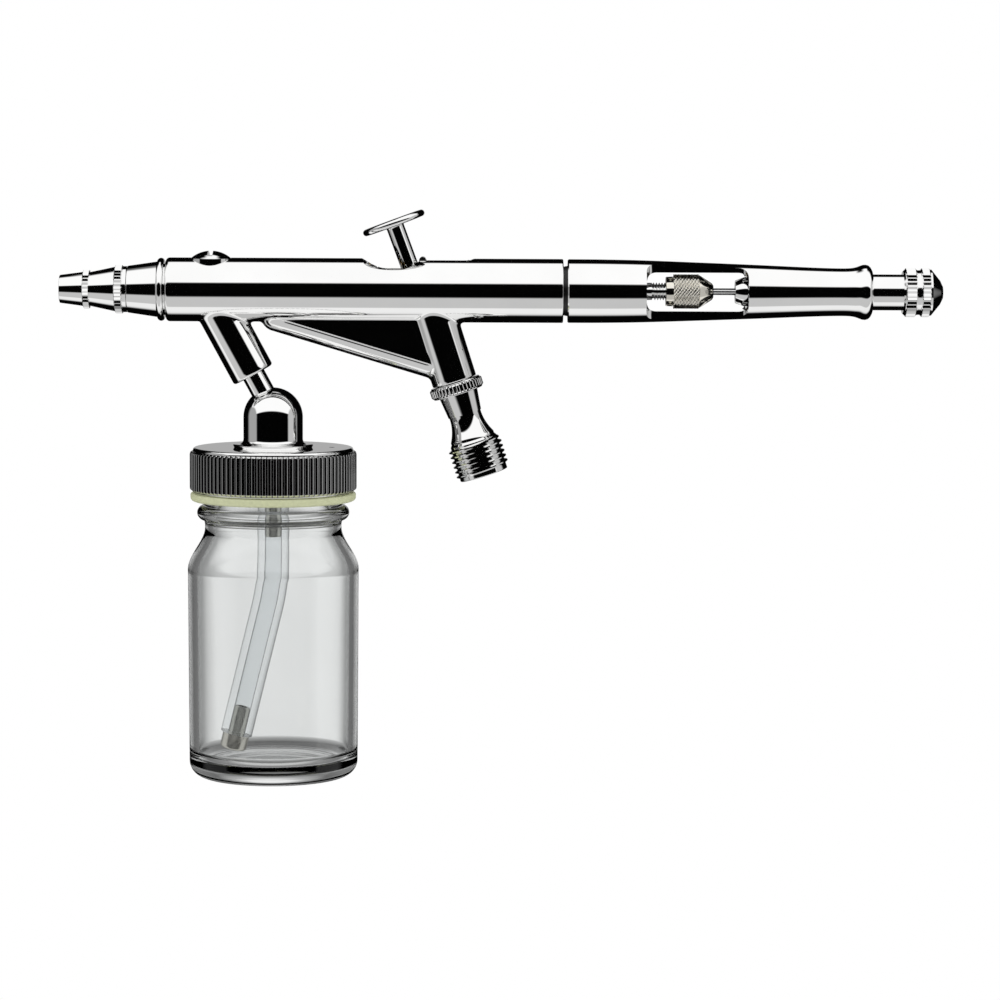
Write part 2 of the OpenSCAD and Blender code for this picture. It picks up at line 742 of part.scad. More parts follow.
module bottle_jar() {
    jar_r = jar_d / 2;
    shoulder = -17.1;
    mouth_r = 10.8;
    corner = 2.8;
    floor_z = jar_base + 3.3;
    outside = concat(
        [[mouth_r, 2.58], [12.1, 2.58], [neck_r, 2.2], [neck_r, 1.2], [13.1, 0.8], [13.1, 0.2],
         [neck_r, -0.2], [neck_r, -1.8], [13.1, -2.2], [13.1, -2.7], [neck_r, -3.0], [neck_r, -5.4]],
        arc([12.35, bead_z], 1.3, 80, -80, 10),
        [[12.25, -8.6], [12.25, -9.6]],
        [for (i = [1 : 9])
            let (t = i / 10, u = t * t * (3 - 2 * t)) [12.25 + (jar_r - 12.25) * u, -9.6 + (shoulder + 9.6) * t]],
        [[jar_r, shoulder], [jar_r - 0.2, jar_base + corner]],
        arc([jar_r - 0.2 - corner, jar_base + corner], corner, -9, -90, 9),
        [[11.2, jar_base], [10.6, jar_base + 0.4], [0, jar_base + 0.9]]
    );
    inside = concat(
        [[0, floor_z + 0.3], [9, floor_z]],
        arc([jar_r - jar_wall - 2.4, floor_z + 2], 2, -80, 0, 6),
        [[jar_r - jar_wall - 0.2, floor_z + 6], [jar_r - jar_wall, shoulder - 1]],
        [for (i = [1 : 9])
            let (t = i / 10, u = t * t * (3 - 2 * t))
                [jar_r - jar_wall - (jar_r - jar_wall - mouth_r) * u, shoulder - 1 - (shoulder + 9.4) * t]],
        [[mouth_r, -8.4], [mouth_r, 2.58]]
    );
    color("azure", 0.4) on_bottle(0) difference() {
        ring(concat([[0, 2.58]], outside));
        ring(concat(inside, [[mouth_r, 4], [0, 4]]));
    }
}

body_shell();
slotted_plug();
nozzle_head();
fluid_nozzle();
nozzle_seal();
nozzle_cap();
needle_cap();
needle_packing();
packing_screw();
valve_casing();
valve_o_ring();
valve_screw();
valve_spring();
valve_plunger();
valve_seal();
trigger();
auxiliary_lever();
lever_pin();
spring_guide();
needle_spring();
chucking_guide();
chuck_nut();
needle();
handle();
preset_stem();
preset_knob();
preset_o_ring();
bottle_adaptor();
bottle_cap();
adaptor_nut();
cap_liner();
hose_nipple();
siphon_hose();
hose_foot();
bottle_gasket();
bottle_jar();
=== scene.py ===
# Double-action airbrush with a siphon jar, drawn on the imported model's frame.
# Builders work in millimetres; a piece is scaled to metres when it is finished.
import json
import math

import bmesh
import bpy
import numpy as np
from mathutils import Matrix, Vector


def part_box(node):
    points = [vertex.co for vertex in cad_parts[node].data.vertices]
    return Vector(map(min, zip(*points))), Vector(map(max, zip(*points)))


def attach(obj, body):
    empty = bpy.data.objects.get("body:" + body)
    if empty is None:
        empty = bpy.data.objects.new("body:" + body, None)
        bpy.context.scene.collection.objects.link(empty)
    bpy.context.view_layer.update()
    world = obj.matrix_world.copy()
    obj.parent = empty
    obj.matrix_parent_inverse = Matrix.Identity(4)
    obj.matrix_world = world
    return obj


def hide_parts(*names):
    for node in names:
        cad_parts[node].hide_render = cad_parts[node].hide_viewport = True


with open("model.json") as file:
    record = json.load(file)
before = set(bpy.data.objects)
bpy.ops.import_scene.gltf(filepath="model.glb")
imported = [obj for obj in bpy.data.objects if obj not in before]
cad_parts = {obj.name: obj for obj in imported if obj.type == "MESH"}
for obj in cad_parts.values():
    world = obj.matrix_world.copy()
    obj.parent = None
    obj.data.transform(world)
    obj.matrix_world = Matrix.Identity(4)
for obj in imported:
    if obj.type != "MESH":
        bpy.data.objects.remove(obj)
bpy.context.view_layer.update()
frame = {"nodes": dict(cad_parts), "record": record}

MM = 0.001
record = frame["record"]
BODY_OF = {node: body for body, nodes in record["behaviour"]["bodies"].items() for node in nodes}

# ---- the model's places, read from the frame ----


def centre(node, axis):
    low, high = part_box(node)
    return (low[axis] + high[axis]) / 2 / MM


# stations run along the barrel, and heights stand above the datum plane
BARREL_FRONT, BARREL_REAR, BARREL_R = -56.9, 14.0, 5.7
AXIS_HEIGHT = 33
AXIS_Z = centre("nozzle_head", 2)
DATUM_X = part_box("body_shell")[0][0] / MM - BARREL_FRONT
DATUM_Z = AXIS_Z - AXIS_HEIGHT
BOTTLE_X = centre("bottle_jar", 0)
VALVE_TILT = math.radians(17.7)
FEED_TILT = math.radians(28.5)
TRIGGER_TILT = math.radians(20.3)
WEB_TILT = math.radians(16.6)
FEED_X, FEED_R, FEED_END = -49.6, 3.9, 17.3
BOSS_R, BOSS_FOOT = 4.05, 17.6
PLUG_X = -48.9
LEAD_IN = 0.56
PIVOT_S = 29.3
LEVER_PIVOT = (-7.6, 30.9)


def move(x, y, z):
    return Matrix.Translation((x, y, z))


def turn(angle, axis):
    return Matrix.Rotation(angle, 4, axis)


def barrel_at(station=0.0):
    return move(DATUM_X + station, 0, AXIS_Z) @ turn(math.pi / 2, "Y")


def valve_at(s=0.0):
    return turn(-VALVE_TILT, "Y") @ move(0, 0, s - LEAD_IN)


def feed_at(s=0.0):
    return move(DATUM_X + FEED_X, 0, AXIS_Z) @ turn(math.pi - FEED_TILT, "Y") @ move(0, 0, s)


def bottle_at(height=0.0):
    return move(BOTTLE_X, 0, DATUM_Z + height)


def plane_at(station, height):
    return move(DATUM_X + station, 0, DATUM_Z + height)


# ---- mesh builders ----


def make(verts, faces, place=None):
    mesh = bpy.data.meshes.new("part")
    if place is not None:
        m = np.array(place)
        verts = np.asarray(verts, float) @ m[:3, :3].T + m[:3, 3]
    mesh.from_pydata([tuple(v) for v in verts], [], faces)
    work = bmesh.new()
    work.from_mesh(mesh)
    bmesh.ops.remove_doubles(work, verts=work.verts, dist=1e-5)
    bmesh.ops.dissolve_degenerate(work, edges=work.edges, dist=1e-6)
    bmesh.ops.recalc_face_normals(work, faces=work.faces)
    work.to_mesh(mesh)
    work.free()
    obj = bpy.data.objects.new("part", mesh)
    bpy.context.scene.collection.objects.link(obj)
    return obj


def soften(points, steps=6):
    """Outline with an arc wherever a point carries a radius as its third number."""
    out = []
    n = len(points)
    for i, p in enumerate(points):
        if len(p) < 3:
            out.append((p[0], p[1]))
            continue
        here = np.array(p[:2], float)
        a = np.array(points[i - 1][:2], float) - here
        b = np.array(points[(i + 1) % n][:2], float) - here
        a /= np.linalg.norm(a)
        b /= np.linalg.norm(b)
        half = math.acos(max(-1, min(1, float(a @ b)))) / 2
        reach = p[2] / math.tan(half)
        middle = here + (a + b) / np.linalg.norm(a + b) * p[2] / math.sin(half)
        first, last = here + a * reach - middle, here + b * reach - middle
        t0, t1 = math.atan2(first[1], first[0]), math.atan2(last[1], last[0])
        sweep = (t1 - t0 + math.pi) % (2 * math.pi) - math.pi
        for k in range(steps + 1):
            t = t0 + sweep * k / steps
            out.append((middle[0] + p[2] * math.cos(t), middle[1] + p[2] * math.sin(t)))
    return out


def curve_through(points, step):
    """Smooth outline through points, sampled about every step along the first number."""
    out = []
    for i in range(len(points) - 1):
        p = [np.array(points[min(max(j, 0), len(points) - 1)], float) for j in range(i - 1, i + 3)]
        span = p[2][0] - p[1][0]
        m1 = (p[2] - p[0])[1] / max(p[2][0] - p[0][0], 1e-6)
        m2 = (p[3] - p[1])[1] / max(p[3][0] - p[1][0], 1e-6)
        count = max(1, round(abs(span) / step))
        for k in range(count):
            t = k / count
            r = ((2 * t ** 3 - 3 * t ** 2 + 1) * p[1][1] + (t ** 3 - 2 * t ** 2 + t) * span * m1
                 + (3 * t ** 2 - 2 * t ** 3) * p[2][1] + (t ** 3 - t ** 2) * span * m2)
            out.append((p[1][0] + span * t, r))
    out.append(tuple(points[-1]))
    return out


def arc(cs, cr, radius, start, end, steps=10):
    """Arc of an outline about (cs, cr), angles in degrees from the s axis."""
    turns = [math.radians(start + (end - start) * i / steps) for i in range(steps + 1)]
    return [(cs + radius * math.cos(t), cr + radius * math.sin(t)) for t in turns]


def lathe(outline, place, sides=160, teeth=0, rib=False):
    """Closed solid of revolution. A third number on a point is the depth of its teeth."""
    if teeth:
        per = 8 if rib else 2
        sides = teeth * per
        phase = (np.arange(sides) % per) / per
        dip = 1 - np.sqrt(1 - (2 * phase - 1) ** 2) if rib else 2 * phase
    else:
        dip = np.zeros(sides)
    angle = 2 * np.pi * np.arange(sides) / sides
    verts = []
    for p in outline:
        depth = p[2] if len(p) > 2 else 0.0
        r = np.maximum(p[1] - depth * dip, 0)
        verts.append(np.column_stack([r * np.cos(angle), r * np.sin(angle), np.full(sides, p[0])]))
    n = len(outline)
    faces = []
    for i in range(n):
        j = (i + 1) % n
        if outline[i][1] <= 0 and outline[j][1] <= 0:
            continue
        for k in range(sides):
            m = (k + 1) % sides
            faces.append((i * sides + k, i * sides + m, j * sides + m, j * sides + k))
    return make(np.vstack(verts), faces, place)


def stretched(outline, step):
    """The outline with long flats divided, so that a surface can be bent."""
    out = []
    for a, b in zip(outline, outline[1:]):
        count = max(1, math.ceil(math.dist(a, b) / step))
        out += [(a[0] + (b[0] - a[0]) * k / count, a[1] + (b[1] - a[1]) * k / count) for k in range(count)]
    return out + [outline[-1]]


def block(low, high, place=None):
    x, y, z = zip(low, high)
    verts = [(i, j, k) for i in x for j in y for k in z]
    faces = [(0, 1, 3, 2), (4, 6, 7, 5), (0, 4, 5, 1), (2, 3, 7, 6), (0, 2, 6, 4), (1, 5, 7, 3)]
    return make(verts, faces, place)


def plate(outline, half, place):
    """Straight-sided prism of an (x, z) outline, from -half to half in Y."""
    n = len(outline)
    verts = [(x, y, z) for y in (-half, half) for x, z in outline]
    faces = [tuple(range(n)), tuple(n + i for i in reversed(range(n)))]
    faces += [(i, (i + 1) % n, n + (i + 1) % n, n + i) for i in range(n)]
    return make(verts, faces, place)


def rod(radius, length, place, sides=64):
    return lathe([(0, 0), (0, radius), (length, radius), (length, 0)], place, sides)


def cross_rod(radius, half, place, sides=64):
    return rod(radius, 2 * half, place @ turn(math.pi / 2, "X") @ move(0, 0, -half), sides)


def baked(obj):
    """The object's mesh with its modifiers applied."""
    graph = bpy.context.evaluated_depsgraph_get()
    mesh = bpy.data.meshes.new_from_object(obj.evaluated_get(graph))
    obj.modifiers.clear()
    obj.data = mesh
    return obj


def combine(obj, others, operation):
    for other in others:
        step = obj.modifiers.new("step", "BOOLEAN")
        step.operation = operation
        step.solver = "MANIFOLD"
        step.object = other
    baked(obj)
    for other in others:
        bpy.data.objects.remove(other)
    return obj


def cut(obj, *others):
    return combine(obj, others, "DIFFERENCE")


def fuse(obj, *others):
    return combine(obj, others, "UNION")


def joined(objs):
    """One object of several closed shells."""
    work = bmesh.new()
    for obj in objs:
        work.from_mesh(obj.data)
    mesh = bpy.data.meshes.new("part")
    work.to_mesh(mesh)
    work.free()
    for obj in objs[1:]:
        bpy.data.objects.remove(obj)
    objs[0].data = mesh
    return objs[0]


def piece(node, parts, material, sharp=32, outside=None):
    """Finishes the parts as the piece that stands for a CAD node and rides on its body."""
    obj = joined(parts if isinstance(parts, list) else [parts])
    mesh = obj.data
    mesh.transform(Matrix.Scale(MM, 4))
    mesh.shade_smooth()
    mesh.set_sharp_from_angle(angle=math.radians(sharp))
    weighted = obj.modifiers.new("normals", "WEIGHTED_NORMAL")
    weighted.keep_sharp = True
    weighted.weight = 70
    baked(obj)
    if outside is not None:
        exact_normals(obj.data, outside)
    obj.data.materials.clear()
    obj.data.materials.append(material)
    obj.name = obj.data.name = node + "_finished"
    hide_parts(node)
    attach(obj, BODY_OF[node])
    return obj


# ---- the blended outside of the body ----


def tube_field(points, origin, direction, radius, start=-math.inf, end=math.inf):
    rel = points - origin
    along = np.clip(rel @ direction, start, end)
    return np.linalg.norm(rel - along[:, None] * direction, axis=1) - radius


def blend_min(a, b, width):
    h = np.clip(0.5 + 0.5 * (b - a) / width, 0, 1)
    return b + (a - b) * h - width * h * (1 - h)


def axis_of(place):
    m = np.array(place)
    return m[:3, 3], m[:3, 2]


WEB_START = (-37.3, 28.3)
WEB_LENGTH = 32.6
WEB_R = 2.7
PLATE_HALF = 2.66
WEB_PLACE = plane_at(*WEB_START) @ turn(math.pi / 2 + WEB_TILT, "Y")


def body_field(points):
    """Signed distance to the body's outside, with its junctions blended."""
    barrel = tube_field(points, np.array([0, 0, AXIS_Z]), np.array([1.0, 0, 0]), BARREL_R)
    feed = tube_field(points, *axis_of(feed_at()), FEED_R, 0, 60)
    boss = tube_field(points, *axis_of(valve_at()), BOSS_R, -40, AXIS_HEIGHT)
    band = tube_field(points, *axis_of(WEB_PLACE), WEB_R, 0, WEB_LENGTH)
    rel = points - np.array([DATUM_X + WEB_START[0], 0, DATUM_Z + WEB_START[1]])
    across = rel[:, 0] * math.sin(WEB_TILT) + rel[:, 2] * math.cos(WEB_TILT)
    along = rel[:, 0] * math.cos(WEB_TILT) - rel[:, 2] * math.sin(WEB_TILT)
    slab = np.maximum.reduce([np.abs(rel[:, 1]) - WEB_R, -across, 0.4 - along, along - 30,
                              points[:, 2] - AXIS_Z])
    # the fillets are wider on the handle's side of the tube and of the boss
    feed_width = side_width(points, feed_at(), 0.3, 0.9)
    boss_width = side_width(points, valve_at(), 0.25, 0.9)
    round_body = blend_min(blend_min(barrel, boss, boss_width), feed, feed_width)
    round_body = blend_min(round_body, band, 0.55)
    return blend_min(round_body, slab, 0.3)


def side_width(points, place, narrow, wide):
    """A blend width that grows across a leaning cylinder, from its front to its rear."""
    origin, along = axis_of(place)
    rel = points - origin
    off = (rel - (rel @ along)[:, None] * along)[:, 0]
    t = np.clip(off / 8 + 0.5, 0, 1)
    return narrow + (wide - narrow) * t * t


def field_slope(points, step=0.01):
    slope = np.empty_like(points)
    for axis in range(3):
        shift = np.zeros(3)
        shift[axis] = step
        slope[:, axis] = (body_field(points + shift) - body_field(points - shift)) / (2 * step)
    size = np.linalg.norm(slope, axis=1, keepdims=True)
    return slope / np.maximum(size, 1e-9)


def divided_at_blends(obj):
    """Splits the faces where two parts of the body meet, so that the blend has points to bend."""
    mesh = obj.data
    work = bmesh.new()
    work.from_mesh(mesh)
    for _ in range(2):
        work.faces.ensure_lookup_table()
        middles = np.array([f.calc_center_median() for f in work.faces])
        moved = np.abs(body_field(middles)) > 0.006
        chosen = [f for f, m in zip(work.faces, moved) if m and f.calc_center_median().z < AXIS_Z]
        split = bmesh.ops.triangulate(work, faces=chosen)["faces"]
        edges = list({e for f in split for e in f.edges if e.calc_length() > 0.22})
        bmesh.ops.subdivide_edges(work, edges=edges, cuts=1, use_grid_fill=True)
    work.to_mesh(mesh)
    work.free()


def pulled_to_field(obj, free):
    """Moves the vertices that free allows onto the blended surface."""
    mesh = obj.data
    points = np.empty(len(mesh.vertices) * 3)
    mesh.vertices.foreach_get("co", points)
    points = points.reshape(-1, 3)
    mask = free(points)
    for _ in range(4):
        slope = field_slope(points[mask])
        points[mask] -= slope * body_field(points[mask])[:, None]
    mesh.vertices.foreach_set("co", points.ravel())
    mesh.update()


def exact_normals(mesh, free):
    """Sets the field's own normals on the corners that lie on the blended surface."""
    count = len(mesh.loops)
    normals = np.empty(count * 3, np.float32)
    mesh.corner_normals.foreach_get("vector", normals)
    normals = normals.reshape(-1, 3).copy()
    index = np.empty(count, np.int32)
    mesh.loops.foreach_get("vertex_index", index)
    points = np.empty(len(mesh.vertices) * 3)
    mesh.vertices.foreach_get("co", points)
    points = points.reshape(-1, 3) / MM
    face_normals = np.empty(len(mesh.polygons) * 3)
    mesh.polygons.foreach_get("normal", face_normals)
    totals = np.empty(len(mesh.polygons), np.int32)
    mesh.polygons.foreach_get("loop_total", totals)
    face_normals = np.repeat(face_normals.reshape(-1, 3), totals, axis=0)
    slope = field_slope(points)[index]
    near = np.abs(body_field(points))[index] < 0.07
    mask = near & free(points)[index] & (np.sum(slope * face_normals, axis=1) > 0.8)
    normals[mask] = slope[mask]
    mesh.normals_split_custom_set(normals.tolist())


# ---- materials ----


class Nodes:
    """A small wrapper that adds and links shader nodes."""

    def __init__(self, tree):
        self.tree = tree
        tree.nodes.clear()

    def add(self, kind, values=None, **settings):
        node = self.tree.nodes.new(kind)
        for key, value in settings.items():
            setattr(node, key, value)
        for key, value in (values or {}).items():
            if isinstance(value, bpy.types.NodeSocket):
                self.tree.links.new(value, node.inputs[key])
            else:
                node.inputs[key].default_value = value
        return node

    def math(self, operation, *values, clamp=False):
        node = self.add("ShaderNodeMath", dict(enumerate(values)), operation=operation, use_clamp=clamp)
        return node.outputs[0]

    def noise(self, where, scale, detail):
        values = {"Vector": where, "Scale": scale, "Detail": detail}
        return self.add("ShaderNodeTexNoise", values).outputs["Fac"]

    def ramp(self, factor, stops):
        node = self.add("ShaderNodeValToRGB", {0: factor})
        ramp = node.color_ramp
        ramp.interpolation = "LINEAR"
        while len(ramp.elements) < len(stops):
            ramp.elements.new(0.5)
        for element, (position, colour) in zip(ramp.elements, stops):
            element.position = position
            element.color = (*colour, 1) if isinstance(colour, tuple) else (colour, colour, colour, 1)
        return node.outputs[0]


def srgb(*levels):
    """Linear colour from 8-bit display levels."""
    out = []
    for level in levels:
        v = level / 255
        out.append(v / 12.92 if v <= 0.04045 else ((v + 0.055) / 1.055) ** 2.4)
    return tuple(out)


def new_material(name):
    material = bpy.data.materials.new(name)
    material.use_nodes = True
    return material, Nodes(material.node_tree)


def metal(name, tint, rough, rough_swing, grain, lift=0.02, shade=0.08):
    """Metal whose colour, roughness and surface vary finely."""
    material, net = new_material(name)
    where = net.add("ShaderNodeTexCoord").outputs["Object"]
    fine = net.noise(where, grain, 5.0)
    broad = net.noise(where, grain / 9, 3.0)
    darker = tuple(c * (1 - shade) for c in tint)
    colour = net.ramp(broad, [(0.3, darker), (0.7, tint)])
    swing = net.add("ShaderNodeMapRange", {"Value": fine, "From Min": 0.3, "From Max": 0.7,
                                           "To Min": rough, "To Max": rough + rough_swing}).outputs[0]
    bump = net.add("ShaderNodeBump", {"Height": fine, "Strength": lift, "Distance": 0.00002}).outputs[0]
    shader = net.add("ShaderNodeBsdfPrincipled", {
        "Base Color": colour, "Roughness": swing, "Normal": bump, "Metallic": 1.0})
    net.add("ShaderNodeOutputMaterial", {0: shader.outputs[0]})
    return material


def plastic(name, tint, rough, grain, shade=0.12, transmission=0.0, scatter=0.0, index=1.45):
    """Rubber, plastic or soft gasket."""
    material, net = new_material(name)
    where = net.add("ShaderNodeTexCoord").outputs["Object"]
    fine = net.noise(where, grain, 6.0)
    darker = tuple(c * (1 - shade) for c in tint)
    colour = net.ramp(fine, [(0.3, darker), (0.7, tint)])
    swing = net.add("ShaderNodeMapRange", {"Value": fine, "From Min": 0.3, "From Max": 0.7,
                                           "To Min": rough, "To Max": rough + 0.12}).outputs[0]
    bump = net.add("ShaderNodeBump", {"Height": fine, "Strength": 0.15, "Distance": 0.00004}).outputs[0]
    shader = net.add("ShaderNodeBsdfPrincipled", {
        "Base Color": colour, "Roughness": swing, "Normal": bump, "Specular IOR Level": 0.5,
        "Transmission Weight": transmission, "Subsurface Weight": scatter, "IOR": index,
        "Subsurface Radius": (0.002, 0.002, 0.002), "Subsurface Scale": 1.0})
    net.add("ShaderNodeOutputMaterial", {0: shader.outputs[0]})
    return material


def glass(name, tint, waviness):
    """Clear glass with slightly uneven walls."""
    material, net = new_material(name)
    where = net.add("ShaderNodeTexCoord").outputs["Object"]
    broad = net.noise(where, 90.0, 1.0)
    fine = net.noise(where, 2500.0, 3.0)
    colour = net.ramp(broad, [(0.3, tuple(c * 0.985 for c in tint)), (0.7, tint)])
    rough = net.add("ShaderNodeMapRange", {"Value": fine, "To Min": 0.0, "To Max": 0.012}).outputs[0]
    bump = net.add("ShaderNodeBump", {"Height": broad, "Strength": waviness, "Distance": 0.0004}).outputs[0]
    shader = net.add("ShaderNodeBsdfPrincipled", {
        "Base Color": colour, "Roughness": rough, "Normal": bump, "Transmission Weight": 1.0, "IOR": 1.5})
    net.add("ShaderNodeOutputMaterial", {0: shader.outputs[0]})
    return material


CHROME = metal("chrome_polish", (0.93, 0.93, 0.925), 0.018, 0.02, 1400, lift=0.008, shade=0.03)
STEEL = metal("steel_turned", (0.80, 0.80, 0.79), 0.12, 0.10, 5200, lift=0.10)
NICKEL = metal("nickel_yellowish", (0.86, 0.83, 0.75), 0.05, 0.05, 4200, lift=0.05)
# painted shade: near-black metal that stands in for the shadow in the handle's groove
PAINTED_GROOVE_SHADE = metal("groove_painted_shade", (0.05, 0.05, 0.05), 0.35, 0.1, 3000)
# painted shade: grey metal that darkens the cap's ribs, which are chrome like the rest of the cap
PAINTED_RIB_SHADE = metal("cap_rib_painted_shade", (0.55, 0.55, 0.55), 0.05, 0.05, 2600)
BRASS = metal("brass_turned", (0.82, 0.62, 0.30), 0.16, 0.10, 4200, lift=0.08)
SILVER = metal("foot_silver", (0.84, 0.82, 0.75), 0.14, 0.10, 3800, lift=0.06)
NEEDLE = metal("needle_ground", (0.85, 0.85, 0.85), 0.08, 0.06, 6000, lift=0.05)
PTFE = plastic("ptfe_white", srgb(236, 235, 230), 0.45, 1800)
RUBBER = plastic("rubber_black", srgb(34, 34, 35), 0.55, 2600)
GASKET = plastic("gasket_cream", srgb(208, 212, 172), 0.40, 1500, scatter=0.1)
HOSE = plastic("hose_milky", srgb(250, 252, 253), 0.12, 900, shade=0.03, transmission=0.95, index=1.06)
GLASS = glass("jar_glass", (0.955, 0.965, 0.962), 0.05)

# ---- barrel, feed tube, web and valve boss ----


def make_body():
    outline = stretched(soften([
        (BARREL_FRONT, 0), (BARREL_FRONT, BARREL_R, 0.65), (BARREL_REAR, BARREL_R, 0.22), (BARREL_REAR, 0)
    ]), 0.7)
    shell = lathe([(s, r) for s, r in outline if r > 4.5 or r == 0 or s in (BARREL_FRONT, BARREL_REAR)],
                  barrel_at(), 192)
    feed = lathe(stretched(soften([
        (0.5, 0), (0.5, FEED_R), (FEED_END, FEED_R, 0.5), (FEED_END, 0)]), 0.5), feed_at(), 128)
    boss = lathe(stretched(soften([
        (BOSS_FOOT, 0), (BOSS_FOOT, BOSS_R, 0.2), (AXIS_HEIGHT, BOSS_R), (AXIS_HEIGHT, 0)]), 0.5),
        valve_at(), 128)
    band = lathe(stretched([(WEB_R * -math.cos(t), WEB_R * math.sin(t))
                            for t in np.radians(np.linspace(0, 90, 12))]
                           + [(WEB_LENGTH, WEB_R), (WEB_LENGTH, 0)], 0.5), WEB_PLACE, 96)
    shell = fuse(shell, feed, boss, band, web_wall())
    divided_at_blends(shell)
    pulled_to_field(shell, on_blend)
    chamber = 4.4
    cut(shell, lathe([
        (BARREL_FRONT - 1, 0), (BARREL_FRONT - 1, 3.95), (-52.8, 3.95), (-52.8, 1.9), (-44, 1.9),
        (-44, 1.95), (-36, 1.95), (-36, 2.35), (-24.5, 2.35), (-24.5, chamber),
        (BARREL_REAR + 1, chamber), (BARREL_REAR + 1, 0)], barrel_at(), 128))
    cut(shell, rod(2.15, 12, feed_at(8.3)), rod(3.25, 6.6, valve_at(BOSS_FOOT)), rod(3.3, 9, valve_at(24)),
        rod(3.85, 1.8, valve_at(16.6)), rod(3.68, 6, plane_at(PLUG_X, 36.4), 96),
        rod(1.2, 9, feed_at(0.0)), rod(2.25, 4, plane_at(PLUG_X, AXIS_HEIGHT)))
    cut(shell, *opening_cutters())
    return piece("body_shell", shell, CHROME, outside=on_blend)


def web_wall():
    """The web's flat plate as a grid, so that it can bend into its neighbours."""
    columns, rows, deep = 60, 16, 6
    verts, faces = [], []
    for i in range(columns + 1):
        x = WEB_START[0] + 0.8 + 26.6 * i / columns
        foot = WEB_START[1] - (x - WEB_START[0]) * math.tan(WEB_TILT)
        for j in range(rows + 1):
            for k in range(deep + 1):
                y = PLATE_HALF * (2 * k / deep - 1)
                verts.append((DATUM_X + x, y, DATUM_Z + foot + (AXIS_HEIGHT - foot) * j / rows))

    def at(i, j, k):
        return (i * (rows + 1) + j) * (deep + 1) + k

    for i in range(columns):
        for j in range(rows):
            for k in (0, deep):
                faces.append((at(i, j, k), at(i + 1, j, k), at(i + 1, j + 1, k), at(i, j + 1, k)))
    for i in range(columns):
        for k in range(deep):
            for j in (0, rows):
                faces.append((at(i, j, k), at(i + 1, j, k), at(i + 1, j, k + 1), at(i, j, k + 1)))
    for j in range(rows):
        for k in range(deep):
            for i in (0, columns):
                faces.append((at(i, j, k), at(i, j + 1, k), at(i, j + 1, k + 1), at(i, j, k + 1)))
    used = sorted({v for f in faces for v in f})
    index = {v: n for n, v in enumerate(used)}
    return make([verts[v] for v in used], [tuple(index[v] for v in f) for f in faces])


def on_blend(points):
    """Where the body's outside is the blended surface rather than an end or a rim."""
    station = points[:, 0] - DATUM_X
    inside_ends = (station > BARREL_FRONT + 0.66) & (station < BARREL_REAR - 0.3)
    origin, along = axis_of(feed_at())
    feed_s = (points - origin) @ along
    origin, along = axis_of(valve_at())
    valve_s = (points - origin) @ along
    below = points[:, 2] < AXIS_Z - 4
    boss_rim = below & (valve_s < BOSS_FOOT + 0.21) & (station > -20)
    feed_rim = below & (feed_s > FEED_END - 0.55) & (station < -38)
    return inside_ends & ~boss_rim & ~feed_rim


def opening_cutters():
    wide, narrow = 4.25, 2.07
    first, last, end = -22 + wide, -11 - wide, -1.8 - narrow
    tools = [rod(wide, 12, plane_at(first, AXIS_HEIGHT), 96),
             rod(wide, 12, plane_at(last, AXIS_HEIGHT), 96),
             rod(narrow, 12, plane_at(end, AXIS_HEIGHT), 64)]
    tools.append(block((first, -wide, AXIS_HEIGHT), (last, wide, 45), plane_at(0, 0)))
    tools.append(block((last, -narrow, AXIS_HEIGHT), (end, narrow, 45), plane_at(0, 0)))
    return tools


make_body()

# ---- nozzle end ----

plug_r, plug_rise, plug_edge = 3.65, BARREL_R + 1.23, 5.55
plug_ball = (plug_r ** 2 + (plug_rise - plug_edge) ** 2) / (2 * (plug_rise - plug_edge))
plug_lean = math.degrees(math.asin(plug_r / plug_ball))
plug = lathe([(2.2, 0), (2.2, 3.45), (3.45, 3.45), (3.45, plug_r)]
             + arc(plug_rise - plug_ball, 0, plug_ball, plug_lean, 0, 20)[:-1] + [(plug_rise, 0)],
             plane_at(PLUG_X, AXIS_HEIGHT), 128)
cut(plug, block((-0.45, -5, plug_rise - 0.9), (0.45, 5, plug_rise + 3), plane_at(PLUG_X, AXIS_HEIGHT)))
piece("slotted_plug", plug, CHROME)

piece("nozzle_head", lathe(
    soften([(-65.9, 1.3), (-65.9, 2.85, 0.1), (-63.75, 2.95), (-63.75, 4.18, 0.12), (-58.45, 4.96)])
    + arc(-57.8, 4.98, 0.65, 180, 0, 16)
    + [(-57.15, 4.6), (-56.98, 4.6), (-56.98, 3.9), (-53.4, 3.9), (-53.2, 3.7), (-53.2, 1.85),
       (-51.2, 1.85), (-51.2, 1.3)], barrel_at(), 192), CHROME)

piece("fluid_nozzle", lathe([
    (-72.7, 0.16), (-72.7, 0.42), (-72.3, 0.55), (-68.2, 1.15), (-66.9, 1.35), (-66.9, 1.65),
    (-66.2, 1.65), (-66.2, 1.18), (-63, 1.18), (-63, 0.95), (-66, 0.95)], barrel_at(), 96), BRASS)

piece("nozzle_cap", [
    lathe(soften([(-72.4, 0.75), (-72.4, 2.2, 0.25), (-70.5, 2.2), (-70.5, 3.02), (-66.05, 3.98),
                  (-66.05, 3.9), (-64.55, 3.95), (-64.55, 4.1, 0.05), (-63.82, 4.1, 0.12), (-63.82, 3.0),
                  (-66.1, 3.0), (-66.1, 2.3), (-67.4, 2.3), (-70, 1.6), (-72, 0.75)]), barrel_at(), 160),
    lathe([(-66.05, 3.8), (-66.0, 4.05), (-65.88, 4.33, 0.28), (-64.72, 4.33, 0.28), (-64.6, 4.05),
           (-64.55, 3.8)], barrel_at(), teeth=38)], CHROME)

